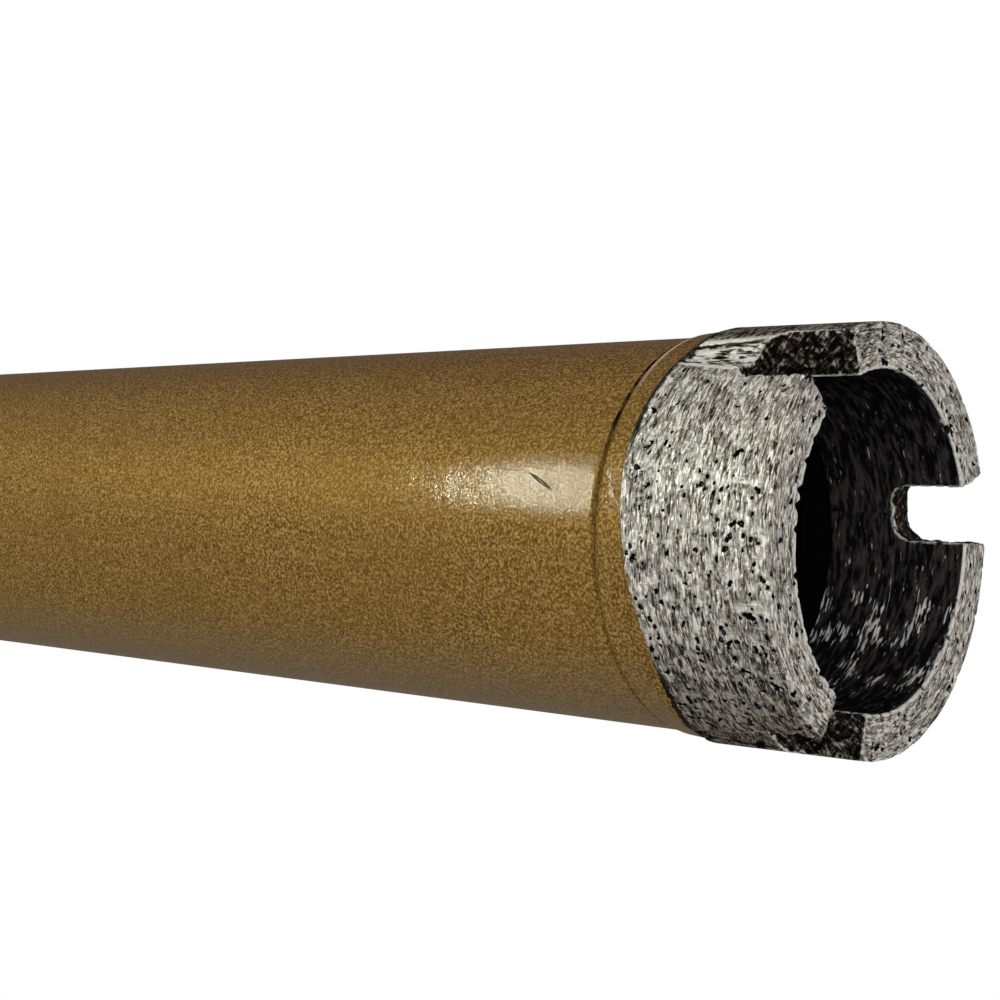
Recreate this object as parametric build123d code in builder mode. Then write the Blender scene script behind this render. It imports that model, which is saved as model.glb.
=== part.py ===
"""Thin-wall diamond core bit for wet drilling.

A sintered crown with three water slots sits on a short steel carrier, which is brazed to
a long barrel tube, and the tube is welded to a threaded hub. Millimetres. The origin is
the centre of the hub's end face, and +Z runs along the axis to the cutting face.
"""

from build123d import *
import os
from math import cos, radians, sin, sqrt, tan

os.makedirs("parts", exist_ok=True)

# ---------------------------------------------------------------- driving sizes

bit_length = 370.0  # hub end face to cutting face

# Crown: one sintered ring of metal and diamond grit
crown_diameter = 28.0  # across the cutting face: the size of the drilled hole
crown_bore = 22.0  # the size of the core that it leaves
crown_height = 10.5
crown_wear = 0.1  # radius lost between the crown's root and its cutting face
crown_rim_radius = 0.3  # worn outer edge of the cutting face
crown_mouth_radius = 0.2  # worn inner edge of the cutting face
crown_root_radius = 0.12  # outer edge beside the carrier

# Water slots: radial sides and a round-cornered floor. They are unevenly spaced and cut.
slot_a_azimuth = 98.5
slot_a_angle = 20.0  # from side to side, seen from the axis
slot_b_azimuth = 211.8
slot_b_angle = 23.5
slot_c_azimuth = 337.9
slot_c_angle = 20.4
slot_depth = 5.5  # cutting face to floor
slot_floor_radius = 1.3

# Flutes: a tapering groove from each slot to the crown's root
flute_slot_width = 4.4
flute_slot_depth = 0.9
flute_root_width = 2.7
flute_root_depth = 0.4

# Carrier: the steel ring that the crown is sintered on
carrier_length = 2.6
carrier_bore = 22.6
carrier_crown_step = 0.15  # how far the crown's root stands proud of the carrier
carrier_tube_step = 0.2  # how far the carrier stands proud of the tube
carrier_rear_radius = 0.5  # rounded outer edge beside the braze

# Braze between the carrier and the tube's end, sunk below the surface
braze_thickness = 0.25
braze_recess = 0.2

# Barrel tube
tube_diameter = 27.1
tube_wall = 2.0

# Hub: turned from bar, with a female thread for the machine's spindle
hub_diameter = 32.0
hub_length = 38.0  # end face to the shoulder that carries the tube
hub_rim_chamfer = 1.0
thread_crest_diameter = 19.3  # M22 x 2.5, measured over its crests
thread_depth = 25.0
thread_mouth_chamfer = 1.3
drill_point_angle = 118.0  # cone at the bottom of the tapping hole
water_passage_diameter = 10.0
spigot_length = 9.0  # reaches into the tube and centres it
spigot_clearance = 0.05
spigot_chamfer = 0.8
spanner_size = 28.0  # across the two flats
spanner_flat_height = 14.0
spanner_flat_start = 9.0  # end face to the flats' lower edge

# Fillet weld round the foot of the tube
weld_leg = 2.0
weld_bulge = 0.25  # how far the weld's face rises past a straight line

# ---------------------------------------------------------------- derived places

# How far a cutter reaches past the surfaces that it cuts through
overcut = 1.0

crown_face_outer = crown_diameter / 2
crown_root_outer = crown_face_outer + crown_wear
crown_inner = crown_bore / 2
tube_outer = tube_diameter / 2
tube_inner = tube_outer - tube_wall
carrier_inner = carrier_bore / 2
carrier_crown_outer = crown_root_outer - carrier_crown_step
carrier_tube_outer = tube_outer + carrier_tube_step
hub_outer = hub_diameter / 2
thread_crest = thread_crest_diameter / 2
water_passage = water_passage_diameter / 2
spigot_outer = tube_inner - spigot_clearance
drill_point_height = (thread_crest - water_passage) / tan(radians(drill_point_angle / 2))

crown_root_z = bit_length - crown_height
slot_floor_z = bit_length - slot_depth
carrier_root_z = crown_root_z - carrier_length
tube_top_z = carrier_root_z - braze_thickness
spigot_top_z = hub_length + spigot_length
drill_point_top_z = thread_depth + drill_point_height

# Azimuth and angle of each slot
slots = (
    (slot_a_azimuth, slot_a_angle),
    (slot_b_azimuth, slot_b_angle),
    (slot_c_azimuth, slot_c_angle),
)


def slot_plane(azimuth, distance):
    """Upright plane across a slot: its X runs along the slot's width, its Y up the axis."""
    outwards = Vector(cos(radians(azimuth)), sin(radians(azimuth)), 0)
    sideways = Vector(-sin(radians(azimuth)), cos(radians(azimuth)), 0)
    return Plane(origin=outwards * distance, x_dir=sideways, z_dir=outwards)


def draw_slot_section(angle, distance):
    """Draw a slot's section on its plane at one distance from the bit's axis."""
    width = 2 * distance * tan(radians(angle / 2))
    with Locations((0, slot_floor_z)):
        Rectangle(width, slot_depth + overcut, align=(Align.CENTER, Align.MIN))
    fillet(vertices().group_by(Axis.Y)[0], slot_floor_radius)


def flute_cutter(width, depth, outer):
    """Radius of the round cutter that leaves a groove of this width and depth in a bar
    of the given outer radius, and its centre's distance from the bar's axis."""
    edge_distance = sqrt(outer**2 - (width / 2) ** 2)
    groove_rise = edge_distance - (outer - depth)
    cutter = ((width / 2) ** 2 + groove_rise**2) / (2 * groove_rise)
    return cutter, outer - depth + cutter


def draw_flute_section(azimuth, width, depth, outer):
    """Draw the flute's round cutter on a level plane."""
    cutter, distance = flute_cutter(width, depth, outer)
    with Locations((distance * cos(radians(azimuth)), distance * sin(radians(azimuth)))):
        Circle(cutter)


# ---------------------------------------------------------------- crown

with BuildPart() as diamond_crown:
    with BuildSketch(Plane.XZ):
        with BuildLine():
            Polyline(
                (crown_inner, crown_root_z),
                (crown_root_outer, crown_root_z),
                (crown_face_outer, bit_length),
                (crown_inner, bit_length),
                close=True,
            )
        make_face()
        root_corners = vertices().group_by(Axis.Y)[0].sort_by(Axis.X)
        face_corners = vertices().group_by(Axis.Y)[-1].sort_by(Axis.X)
        fillet(root_corners[-1], crown_root_radius)
        fillet(face_corners[-1], crown_rim_radius)
        fillet(face_corners[0], crown_mouth_radius)
    revolve(axis=Axis.Z)
    for slot_azimuth, slot_angle in slots:
        with BuildSketch(slot_plane(slot_azimuth, crown_inner - overcut)):
            draw_slot_section(slot_angle, crown_inner - overcut)
        with BuildSketch(slot_plane(slot_azimuth, crown_root_outer + overcut)):
            draw_slot_section(slot_angle, crown_root_outer + overcut)
        loft(ruled=True, mode=Mode.SUBTRACT)
    for slot_azimuth, _ in slots:
        with BuildSketch(Plane.XY.offset(crown_root_z)):
            draw_flute_section(slot_azimuth, flute_root_width, flute_root_depth, crown_root_outer)
        with BuildSketch(Plane.XY.offset(slot_floor_z + slot_floor_radius)):
            draw_flute_section(slot_azimuth, flute_slot_width, flute_slot_depth, crown_root_outer)
        loft(ruled=True, mode=Mode.SUBTRACT)
diamond_crown.part.label = "diamond_crown"
export_step(diamond_crown.part, "parts/diamond_crown.step")

# ---------------------------------------------------------------- carrier and its braze

with BuildPart() as crown_carrier:
    with BuildSketch(Plane.XZ):
        with BuildLine():
            Polyline(
                (carrier_inner, carrier_root_z),
                (carrier_tube_outer, carrier_root_z),
                (carrier_crown_outer, crown_root_z),
                (carrier_inner, crown_root_z),
                close=True,
            )
        make_face()
        rear_corners = vertices().group_by(Axis.Y)[0].sort_by(Axis.X)
        fillet(rear_corners[-1], carrier_rear_radius)
    revolve(axis=Axis.Z)
crown_carrier.part.label = "crown_carrier"
export_step(crown_carrier.part, "parts/crown_carrier.step")

with BuildPart() as braze_ring:
    with BuildSketch(Plane.XY.offset(tube_top_z)):
        Circle(tube_outer - braze_recess)
        Circle(tube_inner, mode=Mode.SUBTRACT)
    extrude(amount=braze_thickness)
braze_ring.part.label = "braze_ring"
export_step(braze_ring.part, "parts/braze_ring.step")

# ---------------------------------------------------------------- barrel tube

with BuildPart() as barrel_tube:
    with BuildSketch(Plane.XY.offset(hub_length)):
        Circle(tube_outer)
        Circle(tube_inner, mode=Mode.SUBTRACT)
    extrude(amount=tube_top_z - hub_length)
barrel_tube.part.label = "barrel_tube"
export_step(barrel_tube.part, "parts/barrel_tube.step")

# ---------------------------------------------------------------- hub and its weld

with BuildPart() as spindle_hub:
    with BuildSketch():
        Circle(hub_outer)
    extrude(amount=hub_length)
    chamfer(edges().group_by(Axis.Z)[0], hub_rim_chamfer)
    with BuildSketch(Plane.XY.offset(hub_length)):
        Circle(spigot_outer)
    extrude(amount=spigot_length)
    chamfer(edges().group_by(Axis.Z)[-1], spigot_chamfer)
    with BuildSketch(Plane.XZ):
        with BuildLine():
            Polyline(
                (0, 0),
                (thread_crest + thread_mouth_chamfer, 0),
                (thread_crest, thread_mouth_chamfer),
                (thread_crest, thread_depth),
                (water_passage, drill_point_top_z),
                (water_passage, spigot_top_z),
                (0, spigot_top_z),
                close=True,
            )
        make_face()
    revolve(axis=Axis.Z, mode=Mode.SUBTRACT)
    with BuildSketch(Plane.XY.offset(spanner_flat_start)):
        with Locations((0, spanner_size / 2)):
            Rectangle(hub_diameter, hub_outer, align=(Align.CENTER, Align.MIN))
        with Locations((0, -spanner_size / 2)):
            Rectangle(hub_diameter, hub_outer, align=(Align.CENTER, Align.MAX))
    extrude(amount=spanner_flat_height, mode=Mode.SUBTRACT)
spindle_hub.part.label = "spindle_hub"
export_step(spindle_hub.part, "parts/spindle_hub.step")

with BuildPart() as hub_weld:
    with BuildSketch(Plane.XZ):
        with BuildLine():
            weld_foot = (tube_outer + weld_leg, hub_length)
            weld_top = (tube_outer, hub_length + weld_leg)
            SagittaArc(weld_foot, weld_top, -weld_bulge)
            Polyline(weld_top, (tube_outer, hub_length), weld_foot)
        make_face()
    revolve(axis=Axis.Z)
hub_weld.part.label = "hub_weld"
export_step(hub_weld.part, "parts/hub_weld.step")
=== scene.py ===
"""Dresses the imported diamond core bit: detailed meshes, finishes, studio and camera.

The bit stands on its hub with the crown up. All lengths are metres in the frame's axes.
"""

import logging
import math
import random
from collections.abc import Iterator
from contextlib import contextmanager
from dataclasses import dataclass, field, replace
from enum import Enum
from functools import cached_property

import bpy
import numpy as np
from mathutils import Matrix, Vector, noise


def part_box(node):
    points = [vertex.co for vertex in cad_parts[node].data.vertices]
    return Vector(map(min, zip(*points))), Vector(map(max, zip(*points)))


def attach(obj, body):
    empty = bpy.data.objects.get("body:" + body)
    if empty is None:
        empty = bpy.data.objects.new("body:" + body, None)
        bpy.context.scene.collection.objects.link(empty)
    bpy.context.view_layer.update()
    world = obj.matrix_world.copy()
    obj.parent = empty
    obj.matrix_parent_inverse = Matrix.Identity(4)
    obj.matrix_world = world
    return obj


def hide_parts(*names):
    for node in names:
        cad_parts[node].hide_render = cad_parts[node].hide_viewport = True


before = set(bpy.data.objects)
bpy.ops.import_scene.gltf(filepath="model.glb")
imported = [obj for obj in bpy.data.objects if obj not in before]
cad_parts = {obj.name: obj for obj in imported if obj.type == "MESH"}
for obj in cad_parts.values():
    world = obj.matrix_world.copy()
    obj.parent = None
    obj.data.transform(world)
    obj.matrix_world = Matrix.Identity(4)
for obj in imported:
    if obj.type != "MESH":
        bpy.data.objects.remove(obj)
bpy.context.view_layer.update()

MM = 0.001
UP = Vector((0, 0, 1))
FAR_OUTSIDE = -5.0  # millimetres, for a place that a mark doesn't reach

log = logging.getLogger("core_bit")

Object = bpy.types.Object
Mesh = bpy.types.Mesh
Material = bpy.types.Material
Socket = bpy.types.NodeSocket
Input = Socket | float | tuple
Colour = tuple[float, float, float]
Pair = tuple[float, float]
Ramp = tuple[float, ...]
Size = float | tuple[float, float, float]


class Region(Enum):
    """Parts of the crown's skin that differ in finish."""

    BORE = "bore"
    CUT = "cut"
    FLUTE = "flute"


# ------------------------------------------------------------------ modelling helpers


def polar(radius: float, azimuth: float, height: float) -> Vector:
    """Point at a radius, an azimuth in degrees and a height.

    Args:
        radius: Distance from the bit's axis.
        azimuth: Angle from +X in degrees.
        height: Height above the hub's end face.

    Returns:
        The point in the frame's axes.
    """
    angle = math.radians(azimuth)
    return Vector((radius * math.cos(angle), radius * math.sin(angle), height))


def deselect() -> None:
    """Deselect everything, in object mode."""
    if bpy.context.mode != "OBJECT":
        bpy.ops.object.mode_set(mode="OBJECT")
    bpy.ops.object.select_all(action="DESELECT")


def activate(piece: Object) -> None:
    """Make one piece the only selected and active object.

    Args:
        piece: The piece.
    """
    deselect()
    piece.select_set(True)
    bpy.context.view_layer.objects.active = piece


@contextmanager
def editing(piece: Object) -> Iterator[None]:
    """Open a piece in edit mode with its whole mesh selected, and close it afterwards.

    Args:
        piece: The piece.

    Returns:
        The context of a with statement.
    """
    activate(piece)
    bpy.ops.object.mode_set(mode="EDIT")
    bpy.ops.mesh.select_all(action="SELECT")
    yield
    bpy.ops.object.mode_set(mode="OBJECT")


def turn_faces_outwards() -> None:
    """Turn all faces of the mesh in edit mode outwards."""
    bpy.ops.mesh.select_all(action="SELECT")
    bpy.ops.mesh.normals_make_consistent(inside=False)


def add_object(name: str, data: bpy.types.ID) -> Object:
    """Put a mesh, a lamp or a camera into the scene as a new object.

    Args:
        name: The object's name.
        data: What it shows.

    Returns:
        The object.
    """
    piece = bpy.data.objects.new(name, data)
    bpy.context.scene.collection.objects.link(piece)
    return piece


def copy_node(node: str, name: str) -> Object:
    """Copy a CAD node's mesh into a new piece and merge its loose triangles.

    Args:
        node: The CAD node.
        name: The new piece's name.

    Returns:
        The new piece, with a closed mesh.
    """
    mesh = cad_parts[node].data.copy()
    mesh.name = name
    mesh.materials.clear()
    piece = add_object(name, mesh)
    with editing(piece):
        bpy.ops.mesh.customdata_custom_splitnormals_clear()
        bpy.ops.mesh.remove_doubles(threshold=0.0005 * MM)
    return piece


def take_primitive(name: str) -> Object:
    """Name the primitive that was just added and settle its place in its mesh.

    Args:
        name: Its new name.

    Returns:
        The primitive.
    """
    piece = bpy.context.object
    piece.name = piece.data.name = name
    activate(piece)
    bpy.ops.object.transform_apply(location=True, rotation=True, scale=True)
    return piece


def apply_modifier(piece: Object, kind: str, **settings: object) -> None:
    """Add a modifier to a piece and apply it.

    Args:
        piece: The piece to change.
        kind: The modifier's type.
        **settings: Its properties.
    """
    activate(piece)
    modifier = piece.modifiers.new(kind.title(), kind)
    for key, value in settings.items():
        setattr(modifier, key, value)
    bpy.ops.object.modifier_apply(modifier=modifier.name)


def cut_away(piece: Object, cutter: Object) -> None:
    """Cut one piece by another, whose own parts may cross, and delete the cutter."""
    apply_modifier(
        piece, "BOOLEAN", operation="DIFFERENCE", object=cutter, solver="EXACT", use_self=True
    )
    bpy.data.objects.remove(cutter)


def join(piece: Object, *others: Object) -> None:
    """Join other pieces into one.

    Args:
        piece: The piece that stays.
        *others: The pieces that go into it.
    """
    activate(piece)
    for other in others:
        other.select_set(True)
    bpy.ops.object.join()


def lathe(name: str, profile: list[Pair], steps: int) -> Object:
    """Turn a closed profile round the bit's axis, ring by ring.

    Args:
        name: The piece's name.
        profile: Radius and height of each corner, in order round the section.
        steps: Sides of each ring.

    Returns:
        The closed piece.
    """
    deselect()
    radius, height = profile[0]
    bpy.ops.mesh.primitive_circle_add(vertices=steps, radius=radius, location=(0, 0, height))
    piece = take_primitive(name)
    with editing(piece):
        bpy.ops.mesh.select_mode(type="EDGE")
        for next_radius, next_height in profile[1:]:
            rise = {"value": (0.0, 0.0, next_height - height)}
            bpy.ops.mesh.extrude_edges_move(TRANSFORM_OT_translate=rise)
            ratio = next_radius / radius
            centre = (0.0, 0.0, next_height)
            bpy.ops.transform.resize(value=(ratio, ratio, 1.0), center_override=centre)
            radius, height = next_radius, next_height
        bpy.ops.mesh.select_all(action="SELECT")
        bpy.ops.mesh.region_to_loop()
        bpy.ops.mesh.bridge_edge_loops()
        turn_faces_outwards()
    return piece


def round_ring(piece: Object, radius: float, height: float, width: float, segments: int) -> None:
    """Round the ring edge at one radius and height.

    Args:
        piece: The turned piece.
        radius: The edge's radius.
        height: The edge's height.
        width: The rounding's width.
        segments: Steps across the rounding.
    """
    near = 0.005 * MM
    with editing(piece):
        bpy.ops.mesh.select_mode(type="EDGE")
        bpy.ops.mesh.select_all(action="DESELECT")
    corners = [vertex.co for vertex in piece.data.vertices]
    on_ring = [abs(at.xy.length - radius) < near and abs(at.z - height) < near for at in corners]
    for edge in piece.data.edges:
        edge.select = all(on_ring[index] for index in edge.vertices)
    bpy.ops.object.mode_set(mode="EDIT")
    bpy.ops.mesh.bevel(offset=width, segments=segments, affect="EDGES", profile=0.5)
    bpy.ops.object.mode_set(mode="OBJECT")


def vertex_array(mesh: Mesh, key: str) -> np.ndarray:
    """Read a three-part vertex property as an array.

    Args:
        mesh: The mesh.
        key: The property, such as co or normal.

    Returns:
        One row for each vertex.
    """
    flat = np.zeros(len(mesh.vertices) * 3)
    mesh.vertices.foreach_get(key, flat)
    return flat.reshape(-1, 3)


def move_vertices(mesh: Mesh, places: np.ndarray) -> None:
    """Put a mesh's vertices at new places."""
    mesh.vertices.foreach_set("co", places.ravel())
    mesh.update()


def store_mask(mesh: Mesh, name: str, values: np.ndarray) -> None:
    """Keep one number per vertex under a name that a finish can read."""
    mask = mesh.attributes.new(name, "FLOAT", "POINT")
    mask.data.foreach_set("value", values.astype(np.float32))


def noise_at(places: np.ndarray, size: Size, offset: float = 0.0) -> np.ndarray:
    """Smooth noise from -1 to 1 at each place.

    Args:
        places: The places.
        size: Size of the noise's cells, the same along each axis or one for each.
        offset: Shift that gives another pattern.

    Returns:
        One number per place.
    """
    cells = places / np.array(size) + offset
    return np.array([noise.noise(Vector(cell)) for cell in cells])


def radii_of(places: np.ndarray) -> np.ndarray:
    """Distance of each place from the bit's axis."""
    return np.hypot(places[:, 0], places[:, 1])


def angles_of(places: np.ndarray) -> np.ndarray:
    """Angle of each place round the bit's axis, in radians."""
    return np.arctan2(places[:, 1], places[:, 0])


def turn_from(middle: float, azimuth: float | np.ndarray) -> float | np.ndarray:
    """Turn in degrees from one azimuth to another, from -180 to 180."""
    return (azimuth - middle + 180.0) % 360.0 - 180.0


def facing(middle: float, places: np.ndarray) -> np.ndarray:
    """How far each place's side of the bit faces an azimuth, from 1 to -1 on the far side."""
    return np.cos(np.radians(np.degrees(angles_of(places)) - middle))


def shade(piece: Object, crease: float = 35.0) -> None:
    """Shade a piece smooth, with creases past an angle in degrees."""
    activate(piece)
    bpy.ops.object.shade_smooth_by_angle(angle=math.radians(crease))


def finish_piece(piece: Object, material: Material, slot: str, *nodes: str) -> None:
    """Give a piece its finish and tie it to the frame.

    Args:
        piece: The finished piece.
        material: Its material.
        slot: The material slot's name; not used.
        *nodes: The CAD nodes that it stands for.
    """
    piece.data.materials.clear()
    piece.data.materials.append(material)
    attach(piece, "root")
    if nodes:
        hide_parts(*nodes)
    log.info("%s: %d faces", piece.name, len(piece.data.polygons))


# ------------------------------------------------------------------ node graph


class Graph:
    """Adds and links the nodes of one material or of the world."""

    def __init__(self, owner: Material | bpy.types.World) -> None:
        """Start an empty graph.

        Args:
            owner: The material or the world that it belongs to.
        """
        owner.use_nodes = True
        self.owner, self.tree = owner, owner.node_tree
        self.tree.nodes.clear()

    def add(self, kind: str, inputs: dict | None = None, **settings: object) -> bpy.types.Node:
        """Add a node.

        Args:
            kind: The node's type, without its ShaderNode prefix.
            inputs: Values or sockets for its inputs, by name or index.
            **settings: Its properties.

        Returns:
            The node.
        """
        node = self.tree.nodes.new("ShaderNode" + kind)
        for key, value in settings.items():
            setattr(node, key, value)
        for key, value in (inputs or {}).items():
            self.feed(node.inputs[key], value)
        return node

    def feed(self, socket: Socket, value: Input) -> None:
        """Link a socket to an input, or set the input's value.

        Args:
            socket: The input.
            value: The socket or the value.
        """
        if isinstance(value, Socket):
            self.tree.links.new(value, socket)
        elif isinstance(value, tuple) and len(value) == 3 and socket.type == "RGBA":
            socket.default_value = (*value, 1.0)
        else:
            socket.default_value = value

    def math(self, operation: str, *values: Input) -> Socket:
        """Work out a number from others."""
        return self.add("Math", dict(enumerate(values)), operation=operation).outputs[0]

    def times(self, first: Input, second: Input) -> Socket:
        """Multiply two numbers."""
        return self.math("MULTIPLY", first, second)

    def plus(self, first: Input, second: Input) -> Socket:
        """Add two numbers."""
        return self.math("ADD", first, second)

    def minus(self, first: Input, second: Input) -> Socket:
        """Take the second number from the first."""
        return self.math("SUBTRACT", first, second)

    def squares(self, first: Input, second: Input) -> Socket:
        """Add the squares of two numbers."""
        return self.plus(self.math("POWER", first, 2.0), self.math("POWER", second, 2.0))

    def noise(
        self, vector: Input, size: Size, detail: float = 2.0, roughness: float = 0.5,
        distortion: float = 0.0,
    ) -> Socket:
        """Read noise at a vector.

        Args:
            vector: The place.
            size: Size of the noise's cells, the same along each axis or one for each.
            detail: How many finer layers it has.
            roughness: How strong they are.
            distortion: How far the cells are drawn out of shape.

        Returns:
            A number around a half.
        """
        sizes = size if isinstance(size, tuple) else (size,) * 3
        factors = tuple(1 / each for each in sizes)
        cells = self.add("VectorMath", {0: vector, 1: factors}, operation="MULTIPLY").outputs[0]
        inputs = {"Vector": cells, "Scale": 1.0, "Detail": detail, "Roughness": roughness}
        return self.add("TexNoise", inputs | {"Distortion": distortion}).outputs[0]

    def ramp(self, value: Input, places: Ramp, *colours: Colour) -> Socket:
        """Turn a number into a colour.

        Args:
            value: The number.
            places: Places along the ramp.
            *colours: The colour at each.

        Returns:
            The colour.
        """
        node = self.add("ValToRGB", {0: value})
        elements = node.color_ramp.elements
        while len(elements) < len(places):
            elements.new(0.5)
        for element, place, colour in zip(elements, places, colours, strict=True):
            element.position = place
            element.color = (*colour, 1.0)
        return node.outputs[0]

    def range(
        self, value: Input, low: float, high: float, start: float = 0.0, end: float = 1.0
    ) -> Socket:
        """Map a number's range onto another, clamped."""
        inputs = {"Value": value, "From Min": low, "From Max": high, "To Min": start, "To Max": end}
        return self.add("MapRange", inputs).outputs[0]

    def band(self, value: Input, rise: Pair, fall: Pair) -> Socket:
        """Share that climbs to 1 over one range of a number and falls to 0 over another."""
        return self.times(self.range(value, *rise), self.range(value, *fall, 1.0, 0.0))

    def mix(self, share: Input, first: Input, second: Input, blend: str = "MIX") -> Socket:
        """Blend two colours."""
        node = self.add("Mix", {0: share, 6: first, 7: second}, data_type="RGBA", blend_type=blend)
        return node.outputs[2]

    def bump(self, height: Input, depth: float, normal: Socket | None = None) -> Socket:
        """Raise the surface by a height in metres, over what a normal has raised before.

        Args:
            height: Share of the height.
            depth: The height.
            normal: The normal to go on from.

        Returns:
            The normal.
        """
        node = self.add("Bump", {"Height": height, "Distance": depth, "Strength": 1.0})
        if normal is not None:
            self.feed(node.inputs["Normal"], normal)
        return node.outputs[0]

    def attribute(self, name: str) -> Socket:
        """Read a number that the mesh keeps for each vertex."""
        return self.add("Attribute", attribute_name=name).outputs["Fac"]

    @cached_property
    def place(self) -> Socket:
        """Object coordinates."""
        return self.add("TexCoord").outputs["Object"]

    def parts(self, vector: Input) -> bpy.types.NodeOutputs:
        """The three parts of a vector."""
        return self.add("SeparateXYZ", {0: vector}).outputs

    def vector(self, *parts: Input) -> Socket:
        """Vector of up to three parts."""
        return self.add("CombineXYZ", dict(enumerate(parts))).outputs[0]

    def around_axis(self, seam: float, radius: float) -> Socket:
        """Unroll object coordinates round the bit's axis.

        Args:
            seam: Azimuth in degrees where the unrolled sheet's ends meet.
            radius: The radius at which lengths round the axis are true.

        Returns:
            The vector (length round the axis, radius, height).
        """
        inputs = {"Vector": self.place, "Angle": math.radians(180.0 - seam)}
        turned = self.add("VectorRotate", inputs, rotation_type="Z_AXIS").outputs[0]
        x, y, height = self.parts(turned)
        distance = self.math("SQRT", self.squares(x, y))
        length = self.times(self.math("ARCTAN2", y, x), radius)
        return self.vector(length, distance, height)

    def seen(self) -> Socket:
        """Tell what the camera sees, itself or mirrored or through glass, from what only lights.

        Returns:
            One where it is seen and zero elsewhere.
        """
        rays = self.add("LightPath").outputs
        eye = self.math("MAXIMUM", rays["Is Camera Ray"], rays["Is Glossy Ray"])
        return self.math("MAXIMUM", eye, rays["Is Transmission Ray"])

    def surface(self, **inputs: Input) -> Material:
        """Close the graph with one shader.

        Args:
            **inputs: The shader's inputs, with underscores for spaces.

        Returns:
            The finished material.
        """
        named = {key.replace("_", " "): value for key, value in inputs.items()}
        self.add("OutputMaterial", {0: self.add("BsdfPrincipled", named).outputs[0]})
        return self.owner


# ------------------------------------------------------------------ finishes


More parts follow.
